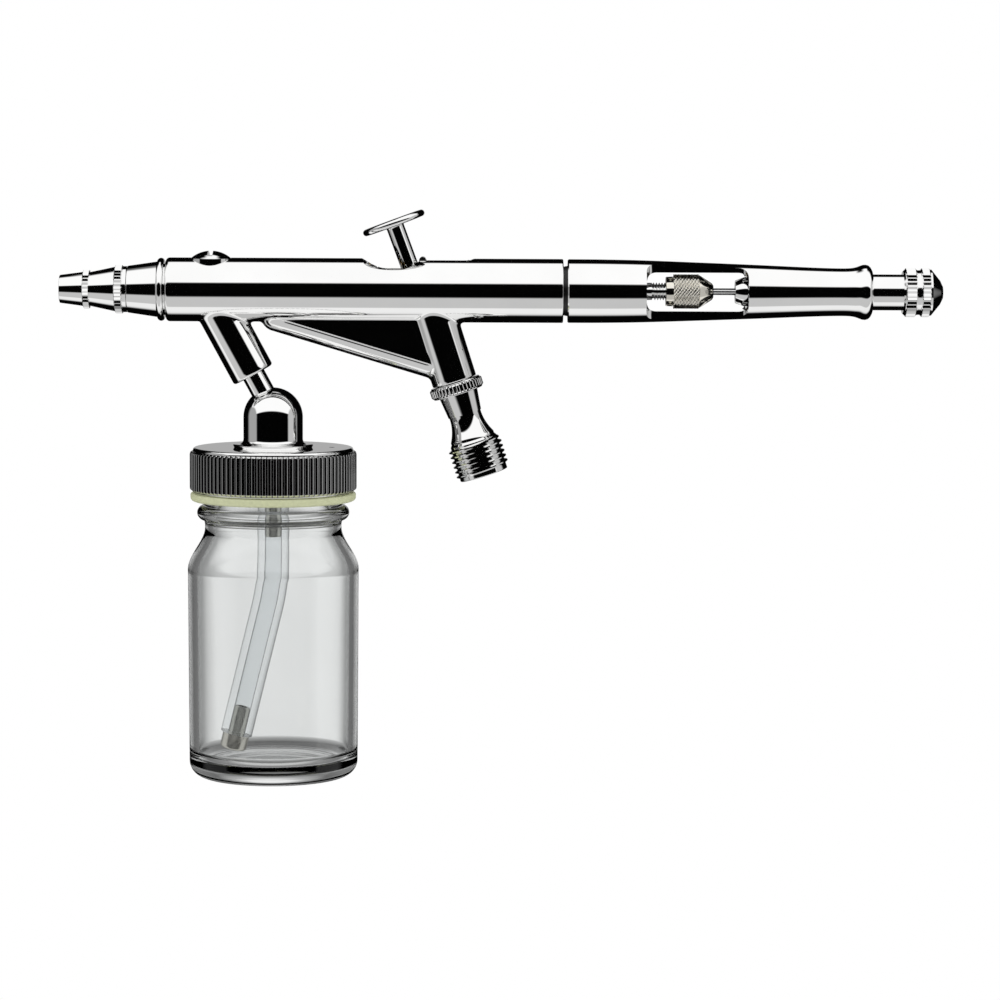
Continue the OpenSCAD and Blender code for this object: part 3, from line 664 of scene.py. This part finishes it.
piece("needle_cap", [
    lathe(soften([(-70.5, 2.25), (-70.5, 3.05, 0.08), (-71.7, 3.05), (-75.9, 2.5, 0.1), (-75.9, 1.95),
                  (-73.2, 2.1), (-72.6, 2.1), (-72.6, 2.25)]), barrel_at(), 160),
    lathe([(-71.75, 2.9), (-71.72, 3.15), (-71.6, 3.45, 0.26), (-70.6, 3.45, 0.26), (-70.5, 3.15),
           (-70.5, 2.9)], barrel_at(), teeth=29)], CHROME)

# ---- air valve ----


def helix_ridge(core, crest, pitch, s0, turns, half_crest, half_root, place):
    """A thread's ridge wound round a core, running out at both ends."""
    steps = int(turns * 72)
    taper = 0.18
    root = core - 0.12
    verts, faces = [], []
    for i in range(steps + 1):
        t = i / steps
        fade = min(1, t * turns / taper, (1 - t) * turns / taper)
        a = 2 * math.pi * turns * t
        s = s0 + pitch * turns * t
        high = core + (crest - core) * fade
        for ds, r in ((-half_root, root), (-half_crest, high), (half_crest, high), (half_root, root)):
            verts.append((r * math.cos(a), r * math.sin(a), s + ds))
    for i in range(steps):
        for k in range(4):
            m = (k + 1) % 4
            faces.append((4 * i + k, 4 * i + m, 4 * i + 4 + m, 4 * i + 4 + k))
    faces += [(3, 2, 1, 0), tuple(4 * steps + k for k in range(4))]
    return make(verts, faces, place)


COLLAR_FOOT, COLLAR_TOP = 15.35, 17.45
thread_core = 4.29
waist = [(7.15 + 4.0 * i / 12, 2.9 + 1.1 * (1 - i / 12) ** 2) for i in range(13)]
casing = lathe(
    soften([(0, 3.0), (0, thread_core + 0.1, 0.15), (6.35, thread_core), (6.75, 4.0)]) + waist
    + soften([(11.3, 3.05, 0.05), (11.5, 3.05, 0.05), (COLLAR_FOOT, 3.52), (COLLAR_FOOT, 4.5, 0.12),
              (COLLAR_TOP, 4.5, 0.12), (COLLAR_TOP, 3.2)], 4)
    + [(23.0, 3.2), (23.2, 3.0), (23.2, 0.95), (21, 0.95), (21, 1.5), (14.6, 1.5), (14.6, 1.2),
       (13.35, 1.2), (13.35, 1.9), (8, 1.9), (8, 2.2), (5.5, 2.2), (5.5, 3.0)], valve_at(), 160)
thread = helix_ridge(thread_core, 4.864, 0.907, 0.5, 6.1, 0.1, 0.46, valve_at())
collar = lathe([(COLLAR_FOOT + 0.18, 4.4), (COLLAR_FOOT + 0.22, 4.6), (COLLAR_FOOT + 0.45, 4.83, 0.3),
                (COLLAR_TOP - 0.45, 4.83, 0.3), (COLLAR_TOP - 0.22, 4.6), (COLLAR_TOP - 0.18, 4.4)],
               valve_at(), teeth=40, rib=True)
piece("valve_casing", [casing, thread, collar], CHROME)

plunger = lathe(soften([
    (12, 0), (12, 1.65), (13, 1.65), (13, 0.9), (26, 0.9), (27, 2.6), (29.25, 2.6, 0.2), (29.25, 0)]),
    valve_at(), 96)
cut(plunger, cross_rod(1.55, 4, valve_at(PIVOT_S)))
piece("valve_plunger", plunger, STEEL)

# ---- trigger and needle carriage ----

STEM_X, TRIGGER_L, DISC_R = -9.95, 18.33, 5.8
pivot_x = -PIVOT_S * math.sin(VALVE_TILT)
pivot_z = PIVOT_S * math.cos(VALVE_TILT)


def trigger_at(s=0.0):
    return plane_at(STEM_X, pivot_z) @ turn(-TRIGGER_TILT, "Y") @ move(0, 0, s)


foot_offset = pivot_x - STEM_X
foot_x, foot_z = foot_offset * math.cos(TRIGGER_TILT), -foot_offset * math.sin(TRIGGER_TILT)
blade = plate([(-1.6, 10), (1.6, 10), (1.6, 1.6), (foot_x + 1, 0.6), (foot_x + 0.9, foot_z),
               (foot_x - 0.9, foot_z), (foot_x - 1, 0.6), (-1.6, 2.2)], 1.75, trigger_at())
stem = lathe(soften([(9.5, 0), (9.5, 1.6), (TRIGGER_L - 0.5, 1.6, 0.5), (TRIGGER_L - 0.5, 2.6),
                     (TRIGGER_L - 0.3, 2.6), (TRIGGER_L - 0.3, 0)]), trigger_at(), 96)
dish = lathe(
    [(-0.75, 0), (-0.75, 2.0), (-0.72, DISC_R - 1.4)]
    + [(-0.1 + 0.6 * math.sin(math.radians(a)), DISC_R - 0.6 + 0.6 * math.cos(math.radians(a)))
       for a in range(-70, 121, 10)]
    + [(0.2, DISC_R - 1.35), (0.05, DISC_R - 2.0), (-0.1, DISC_R - 3.0), (-0.15, 0)],
    trigger_at(TRIGGER_L), 160)
lever_stem = fuse(blade, cross_rod(1.5, 1.75, plane_at(pivot_x, pivot_z)), stem, dish)
cut(lever_stem, block((-5, -0.87, 3.9), (5, 0.87, 9.3), trigger_at()))
piece("trigger", lever_stem, CHROME)

LEVER = plane_at(*LEVER_PIVOT) @ turn(-math.radians(25), "Y")
lever = fuse(cross_rod(1.1, 1.8, LEVER), block((-0.6, -1.8, 0), (0.6, 1.8, 8.3), LEVER),
             cross_rod(0.6, 1.8, LEVER @ move(0, 0, 8.3)))
cut(lever, cross_rod(0.52, 4, LEVER), block((-3, -0.87, 1.25), (3, 0.87, 3.85), LEVER))
piece("auxiliary_lever", lever, STEEL)

GUIDE_R = 1.54
guide = lathe(soften([
    (3, 3.15), (3, 4.25, 0.15), (8.3, 4.3), (8.3, 3.55), (18, 3.55, 0.35), (18, GUIDE_R + 0.07),
    (16.6, GUIDE_R + 0.07), (16.6, 3.15)]), barrel_at(), 128)
cut(guide, block((-0.4, -5, 0), (0.4, 5, 1.8), barrel_at(2.2)))
piece("spring_guide", guide, BRASS)

BORE_R = 0.66
THREAD_FROM, THREAD_TO = 29.8, 36.0
rear = lathe(soften([(-5, BORE_R), (-5, 3.0, 0.2), (1, 3.0, 0.1), (1, GUIDE_R), (THREAD_FROM, GUIDE_R),
                     (THREAD_FROM + 0.2, 1.22), (THREAD_TO, 1.22), (36.2, 1.5), (37.6, 0.95),
                     (37.6, BORE_R)], 4),
             barrel_at(), 96)
for side in (-1, 1):
    fuse(rear, block((-8.6, side * 2.45 - 0.45, 29.9), (-4.6, side * 2.45 + 0.45, 31.9), plane_at(0, 0)))
cut(rear, cross_rod(0.5, 4, plane_at(*LEVER_PIVOT)),
    block((-0.2, -3, 2.9), (0.2, 3, 8), barrel_at(31.0)),
    block((-3, -0.2, 2.9), (3, 0.2, 8), barrel_at(31.0)))
guide_thread = helix_ridge(1.22, GUIDE_R, 0.5, THREAD_FROM + 0.1, 11.6, 0.05, 0.24, barrel_at())
piece("chucking_guide", [rear, guide_thread], CHROME)


def crossed_knurl(s0, s1, radius, depth, around, place):
    """Ring cut by two crossing sets of helical grooves, one of them deeper."""
    fine = 8
    sides, rows = around * fine, 44
    lean = math.tan(math.radians(52)) / (2 * math.pi * radius)
    verts, faces = [], []
    for k in range(rows + 3):
        s = s0 + (s1 - s0) * min(max((k - 1) / rows, 0), 1)
        for j in range(sides):
            turn_part = j / sides
            first = around * (turn_part + lean * s)
            second = around * (turn_part - lean * s)
            ridge_1 = abs(2 * (first - round(first)))
            ridge_2 = abs(2 * (second - round(second)))
            q = radius - depth * (1 - min(ridge_1, 0.45 + 0.55 * ridge_2))
            if k in (0, rows + 2):
                q = radius - depth - 0.3
            a = 2 * math.pi * turn_part
            verts.append((q * math.cos(a), q * math.sin(a), s))
    n = rows + 3
    for i in range(n):
        nxt = (i + 1) % n
        for j in range(sides):
            m = (j + 1) % sides
            faces.append((i * sides + j, i * sides + m, nxt * sides + m, nxt * sides + j))
    return make(verts, faces, place)


nut = lathe(soften([
    (32.3, GUIDE_R + 0.05), (32.3, 2.6, 0.12), (33.5, 2.66), (33.5, 2.5), (33.62, 2.5), (33.62, 2.8),
    (38.25, 2.8), (38.3, 2.95), (38.5, 2.82, 0.08), (40.6, 1.45, 0.2),
    (40.8, 1.1), (40.8, 0.8), (38, 0.8), (36.4, GUIDE_R + 0.05)], 4), barrel_at(), 128)
knurl = crossed_knurl(33.68, 38.2, 3.12, 0.26, 27, barrel_at())
piece("chuck_nut", [nut, knurl], NICKEL, sharp=20)

TIP = -75.1
piece("needle", lathe(soften([
    (TIP, 0), (TIP + 0.05, 0.02), (TIP + 4, 0.2), (TIP + 14, 0.6), (49.9, 0.6, 0.15), (49.9, 0)]),
    barrel_at(), 64), NEEDLE)

# ---- handle and preset knob ----

handle_line = curve_through([
    (15, 5.68), (20.7, 5.66), (27.9, 5.54), (38, 5.2), (49.3, 4.77), (56.4, 4.46), (60.5, 4.31),
    (63.6, 4.25), (65.2, 4.29), (66.2, 4.45), (66.9, 4.7), (67.4, 4.88), (67.9, 4.94), (68.4, 4.83),
    (68.8, 4.5), (69.1, 3.95), (69.2, 3.6)], 0.35)
handle = lathe(
    soften([(9, 3.7), (9, 4.3, 0.2), (14.05, 4.35), (14.8, 4.5), (14.8, 5.55)])
    + handle_line
    + soften([(69.2, 3.28), (60, 3.28), (60, 2.66), (52, 2.66), (52, 3.6), (48.2, 3.6), (47.6, 4.2),
              (25, 4.2), (24.5, 3.7)]), barrel_at(), 224)
FLAT_Y, WINDOW_FRONT, WINDOW_REAR, CUTTER_R = 2.4, 28.75, 46.9, 1.84
for side in (1, -1):
    inset = FLAT_Y + CUTTER_R
    low, high = sorted((side * FLAT_Y, side * (inset + 4)))
    tools = [block((WINDOW_FRONT + CUTTER_R, low, 20), (WINDOW_REAR - CUTTER_R, high, 46), plane_at(0, 0))]
    low, high = sorted((side * inset, side * (inset + 4)))
    tools.append(block((WINDOW_FRONT, low, 20), (WINDOW_REAR, high, 46), plane_at(0, 0)))
    for s in (WINDOW_FRONT + CUTTER_R, WINDOW_REAR - CUTTER_R):
        tools.append(rod(CUTTER_R, 26, plane_at(s, 20) @ move(0, side * inset, 0), 64))
    cut(handle, *tools)
handle = piece("handle", handle, CHROME)
# painted shade: the faces in the groove in front of the handle get the near-black painted-shade metal
handle.data.materials.append(PAINTED_GROOVE_SHADE)
for face in handle.data.polygons:
    station = face.center.x / MM - DATUM_X
    if station < 14.85 and math.hypot(face.center.y, face.center.z - AXIS_Z * MM) < 5.5 * MM:
        face.material_index = 1

stem_line = soften([
    (44.7, 0.75), (44.7, 2.0, 0.05), (46.3, 2.6), (62, 2.6), (62, 3.2), (64.4, 3.2), (64.4, 2.4),
    (65.6, 2.4), (65.6, 3.2, 0.05), (74.6, 3.2), (74.6, 2.0), (79, 2.0), (79, 0), (56.5, 0), (56, 0.75)], 3)
piece("preset_stem", lathe(stem_line, barrel_at(), 128), CHROME)

KNOB_FRONT = 74.6
knob = lathe(soften([
    (KNOB_FRONT, 2.0), (KNOB_FRONT, 3.75), (KNOB_FRONT + 0.32, 4.08), (77.05, 4.08), (77.1, 3.98),
    (77.7, 3.98), (77.75, 4.1), (79.45, 4.1), (79.7, 4.12), (81.3, 2.15, 0.3), (81.8, 1.1, 0.25),
    (81.8, 0), (79, 0), (79, 2.0)], 5), barrel_at(), 160)
bands = [lathe([(a, 3.9), (a + 0.02, 4.05), (a + 0.2, 4.36, 0.26), (b - 0.2, 4.36, 0.26), (b - 0.02, 4.05),
                (b, 3.9)], barrel_at(), teeth=34) for a, b in ((KNOB_FRONT + 0.35, 77.0), (77.8, 79.45))]
piece("preset_knob", [knob] + bands, CHROME)

piece("preset_o_ring", lathe(arc(65, 2.82, 0.41, 0, 337.5, 15), barrel_at(), 96), RUBBER)

# ---- bottle ----

CAP_TOP, CAP_FOOT, CAP_R = 4.8, -3.3, 14.95
DOME_R, DOME_Z = 5.33, 10.2

neck = rod(2.1, 16.6, feed_at(8.7), 96)
dome_line = soften([(-0.6, 1.46), (-0.6, 2.9), (CAP_TOP, 2.9), (CAP_TOP, 7.0), (CAP_TOP + 0.5, 7.25, 0.15),
                    (CAP_TOP + 0.6, 7.0)], 3)
dome_line += [(CAP_TOP + 1.5 - 0.9 * math.cos(t), DOME_R + 0.9 - 0.9 * math.sin(t))
              for t in np.radians(np.linspace(0, 90, 9))]
dome_line += [(DOME_Z + DOME_R * math.sin(t), DOME_R * math.cos(t))
              for t in np.radians(np.linspace(0, 86, 22))]
dome_line += [(DOME_Z + DOME_R, 0), (10, 0), (10, 1.0), (3, 1.0), (3, 1.46)]
adaptor = fuse(lathe(dome_line, bottle_at(), 160), neck)
piece("bottle_adaptor", adaptor, CHROME)

cap = lathe(soften([
    (CAP_FOOT, 13.5), (CAP_FOOT, 14.3, 0.25), (CAP_FOOT + 0.35, 14.42), (CAP_TOP - 0.55, 14.42),
    (CAP_TOP, 14.25, 0.4), (CAP_TOP, 2.95), (3.7, 2.95), (3.7, 13.5)], 6), bottle_at(), 256)
ribs = lathe([(CAP_FOOT + 0.32, 14.2), (CAP_FOOT + 0.36, 14.5), (CAP_FOOT + 0.7, CAP_R - 0.04, 0.45),
              (CAP_FOOT + 0.95, CAP_R, 0.5),
              (CAP_TOP - 1.25, CAP_R, 0.5), (CAP_TOP - 0.85, CAP_R - 0.1, 0.4), (CAP_TOP - 0.6, 14.5),
              (CAP_TOP - 0.55, 14.2)], bottle_at(), teeth=95, rib=True)
cut(cap, rod(0.5, 10, bottle_at(0) @ move(10.5, 0, 0)))
cap = piece("bottle_cap", [cap, ribs], CHROME)
# painted shade: the ribs' side faces get the darker painted-shade metal
cap.data.materials.append(PAINTED_RIB_SHADE)
for face in cap.data.polygons:
    radius = math.hypot(face.center.x - BOTTLE_X * MM, face.center.y) / MM
    if radius > 14.4 and abs(face.normal.z) < 0.5:
        face.material_index = 1

piece("hose_nipple", lathe([(-12, 0.9), (-12, 1.3), (-11.7, 1.43), (2.9, 1.43), (2.9, 0.9)],
                           bottle_at(), 64), SILVER)

HOSE_R, HOSE_BORE, BEND_TOP, BEND_R, HOSE_TAIL = 2.85, 1.45, -14.5, 41.0, 23.4
BEND = math.radians(13.8)
hose_path = [(0, -1.2 - 13.3 * i / 8, 0) for i in range(8)]
hose_path += [(BEND_R * (math.cos(a) - 1), BEND_TOP - BEND_R * math.sin(a), a)
              for a in np.linspace(0, BEND, 12)]
tail_x, tail_z, _ = hose_path[-1]
hose_path += [(tail_x - math.sin(BEND) * s, tail_z - math.cos(BEND) * s, BEND)
              for s in np.linspace(0, HOSE_TAIL, 12)[1:]]


def tube(path, outer, inner, place, sides=64):
    verts, faces = [], []
    for x, z, lean in path:
        for r in (outer, inner):
            for k in range(sides):
                b = 2 * math.pi * k / sides
                verts.append((x + r * math.cos(b) * math.cos(lean), r * math.sin(b),
                              z - r * math.cos(b) * math.sin(lean)))
    n = len(path) - 1
    ring = 2 * sides
    for k in range(sides):
        m = (k + 1) % sides
        for i in range(n):
            a, c = ring * i, ring * (i + 1)
            faces += [(a + k, a + m, c + m, c + k),
                      (a + sides + k, c + sides + k, c + sides + m, a + sides + m)]
        faces.append((k, k + sides, m + sides, m))
        faces.append((ring * n + m, ring * n + m + sides, ring * n + k + sides, ring * n + k))
    return make(verts, faces, place)


piece("siphon_hose", tube(hose_path, HOSE_R, HOSE_BORE, bottle_at()), HOSE)

HOSE_END = bottle_at(BEND_TOP) @ move(-BEND_R, 0, 0) @ turn(BEND, "Y") @ move(BEND_R, 0, -HOSE_TAIL)
weight = lathe(soften([(-2.9, 0.8), (-2.9, 2.4, 0.45), (-0.02, 2.4, 0.06), (-0.02, 1.43), (4.7, 1.43),
                       (5.0, 1.25), (5.0, 0.8)], 4), HOSE_END, 96)
cut(weight, block((-3, -0.4, -3.2), (3, 0.4, -1.8), HOSE_END))
piece("hose_foot", weight, SILVER)

piece("bottle_gasket", lathe(
    soften([(CAP_FOOT - 0.02, 12.75), (-4.75, 12.75), (-4.75, 14.8, 0.6), (CAP_FOOT - 0.02, 14.85, 0.4)], 6),
    bottle_at(), 192), GASKET)

JAR_R, JAR_BASE, JAR_WALL = 15.35, -54.6, 1.6
SHOULDER, MOUTH_R, NECK_R, BEAD_Z = -17.1, 10.8, 12.4, -6.9
FLOOR_Z = JAR_BASE + 3.3


def ease(t):
    return t * t * (3 - 2 * t)


jar_line = soften([(2.58, MOUTH_R), (2.58, 12.2, 0.3), (1.2, NECK_R), (0.5, 13.1, 0.2), (-0.2, NECK_R),
                   (-1.8, NECK_R), (-2.45, 13.1, 0.2), (-3.0, NECK_R), (-5.2, NECK_R, 0.2)], 4)
jar_line += [(BEAD_Z + 1.3 * math.sin(math.radians(a)), 12.35 + 1.3 * math.cos(math.radians(a)))
             for a in range(80, -81, -8)]
jar_line += [(-8.45, 12.35), (-9.0, 12.25), (-9.6, 12.25)]
jar_line += [(-9.6 + (SHOULDER + 9.6) * t, 12.25 + (JAR_R - 12.25) * ease(t))
             for t in np.linspace(0.06, 0.94, 16)]
jar_line += [(SHOULDER, JAR_R)]
jar_line += [(SHOULDER + (JAR_BASE + 2.8 - SHOULDER) * t, JAR_R - 0.2 * t) for t in np.linspace(0.1, 1, 10)]
jar_line += [(JAR_BASE + 2.8 + 2.8 * math.sin(math.radians(a)), JAR_R - 3.0 + 2.8 * math.cos(math.radians(a)))
             for a in range(-7, -91, -7)]
jar_line += [(JAR_BASE, 11.6), (JAR_BASE + 0.1, 11.2), (JAR_BASE + 0.4, 10.6), (JAR_BASE + 0.65, 8),
             (JAR_BASE + 0.8, 4), (JAR_BASE + 0.85, 0)]
inner = JAR_R - JAR_WALL
jar_line += [(FLOOR_Z + 0.35, 0), (FLOOR_Z + 0.3, 4), (FLOOR_Z + 0.12, 8)]
jar_line += [(FLOOR_Z + 2.2 - 2.2 * math.cos(math.radians(a)), inner - 2.5 + 2.3 * math.sin(math.radians(a)))
             for a in range(4, 88, 7)]
jar_line += [(FLOOR_Z + 6, inner - 0.2), (SHOULDER - 8, inner - 0.06), (SHOULDER - 1, inner)]
jar_line += [(SHOULDER - 1 - (SHOULDER + 9.4) * t, inner - (inner - MOUTH_R) * ease(t))
             for t in np.linspace(0.06, 0.94, 16)]
jar_line += [(-8.4, MOUTH_R), (-3, MOUTH_R)]
piece("bottle_jar", lathe(jar_line, bottle_at(), 224), GLASS, sharp=50)

# ---- CAD nodes that stay, with their own finish ----

KEPT = {"nozzle_seal": PTFE, "needle_packing": PTFE, "packing_screw": BRASS, "valve_o_ring": RUBBER,
        "valve_screw": BRASS, "valve_spring": STEEL, "valve_seal": RUBBER, "lever_pin": STEEL,
        "needle_spring": STEEL, "adaptor_nut": STEEL, "cap_liner": PTFE}
for node, material in KEPT.items():
    obj = frame["nodes"][node]
    if obj.material_slots:
        for entry in obj.material_slots:
            entry.link = "OBJECT"
            entry.material = material
    else:
        obj.data.materials.append(material)

# ---- studio ----

floor = block((-1500, -900, -1), (1500, 2500, 0), move(0, 0, DATUM_Z + JAR_BASE - 60))
floor.data.transform(Matrix.Scale(MM, 4))
floor.name = floor.data.name = "studio_floor"
material, net = new_material("floor_white")
where = net.add("ShaderNodeTexCoord").outputs["Object"]
grain = net.noise(where, 60.0, 4.0)
tone = net.ramp(grain, [(0.3, 0.86), (0.7, 0.9)])
matte = net.add("ShaderNodeBsdfDiffuse", {"Color": tone, "Roughness": 0.4}).outputs[0]
glow = net.add("ShaderNodeEmission", {"Color": (1, 1, 1, 1), "Strength": 1.0}).outputs[0]
to_camera = net.add("ShaderNodeLightPath").outputs["Is Camera Ray"]
mixed = net.add("ShaderNodeMixShader", {0: to_camera, 1: matte, 2: glow}).outputs[0]
net.add("ShaderNodeOutputMaterial", {0: mixed})
floor.data.materials.append(material)
floor.visible_glossy = False
floor.visible_transmission = False


def make_world():
    world = bpy.data.worlds.new("studio")
    bpy.context.scene.world = world
    world.use_nodes = True
    net = Nodes(world.node_tree)
    direction = net.add("ShaderNodeTexCoord").outputs["Generated"]
    parts = net.add("ShaderNodeSeparateXYZ", {0: direction})
    x, y, z = parts.outputs
    round_barrel = net.math("ARCTAN2", z, net.math("MULTIPLY", y, -1.0))
    fraction = net.math("MULTIPLY_ADD", round_barrel, 0.5 / math.pi, 0.5)

    def stops(bands):
        return [((angle + 180) / 360, level) for angle, level in bands]

    bands = net.ramp(fraction, stops([
        (-180, 0.42), (-173, 0.42), (-170, 0.001), (-102, 0.001), (-92, 0.80), (-84, 0.92), (-66, 0.92),
        (-63, 0.578), (-27, 0.578), (-22, 0.0008), (25, 0.0008), (29, 1.06), (117, 1.06), (122, 0.001),
        (170, 0.001), (172, 0.42), (180, 0.42)]))
    def choose(factor, otherwise, chosen):
        return net.add("ShaderNodeMix", {0: factor, 6: otherwise, 7: chosen}, data_type="RGBA").outputs[2]

    # metal mirrors bands that run along the barrel, closed by a darker front end and a lighter rear end
    lean = net.math("ABSOLUTE", net.math("ARCSINE", x))
    end = net.ramp(net.math("MULTIPLY", lean, 1 / math.pi), [(61 / 180, 0.0), (66 / 180, 1.0)])
    side = net.ramp(net.math("MULTIPLY_ADD", x, 0.5, 0.5), [(0.49, 0.376), (0.51, 0.546)])
    behind = net.math("MULTIPLY", net.math("MULTIPLY_ADD", y, 5.0, -0.9, clamp=True),
                      net.math("MULTIPLY_ADD", net.math("ABSOLUTE", x), 8.0, -1.2, clamp=True))
    mirrored = choose(behind, choose(end, bands, side), (0.001, 0.001, 0.001, 1))

    # what the glass bends little shows the bright backdrop, the rest a dark room with a few panels
    ahead = net.add("ShaderNodeVectorMath", {0: direction, 1: (-0.03, 0.995, -0.10)}, operation="DOT_PRODUCT")
    off = net.math("MULTIPLY", net.math("ARCCOSINE", ahead.outputs["Value"]), 1 / math.pi)
    through = net.ramp(off, [
        (0.0, 0.90), (9 / 180, 0.86), (17 / 180, 0.42), (30 / 180, 0.15), (60 / 180, 0.28),
        (75 / 180, 0.6), (110 / 180, 0.6), (125 / 180, 0.08), (1.0, 0.3)])
    soft = net.ramp(net.math("MULTIPLY_ADD", z, 0.5, 0.5), [(0.0, 0.35), (0.45, 0.7), (0.7, 1.0), (1.0, 1.1)])

    # each kind of light path sees its own world: this is tuned to the photo's angle
    path = net.add("ShaderNodeLightPath").outputs
    colour = choose(path["Is Glossy Ray"], soft, mirrored)
    colour = choose(path["Is Transmission Ray"], colour, through)
    colour = choose(net.math("GREATER_THAN", path["Diffuse Depth"], 0.5), colour, soft)
    colour = choose(path["Is Camera Ray"], colour, (1, 1, 1, 1))
    light = net.add("ShaderNodeBackground", {"Color": colour, "Strength": 1.0}).outputs[0]
    net.add("ShaderNodeOutputWorld", {0: light})


make_world()

EYE = Vector((0.00305, -0.65, 0.058))
AIM = Vector((0.00305, 0.0, -0.0051))
ROLL = math.radians(0.25)
camera_data = bpy.data.cameras.new("camera")
camera_data.sensor_width = 36
camera_data.lens = 130.85
camera_data.clip_end = 20
camera = bpy.data.objects.new("camera", camera_data)
bpy.context.scene.collection.objects.link(camera)
camera.location = EYE
looking = (AIM - EYE).to_track_quat("-Z", "Y").to_matrix().to_4x4()
camera.rotation_euler = (looking @ turn(ROLL, "Z")).to_euler()
bpy.context.scene.camera = camera
bpy.context.scene.view_settings.view_transform = "Standard"
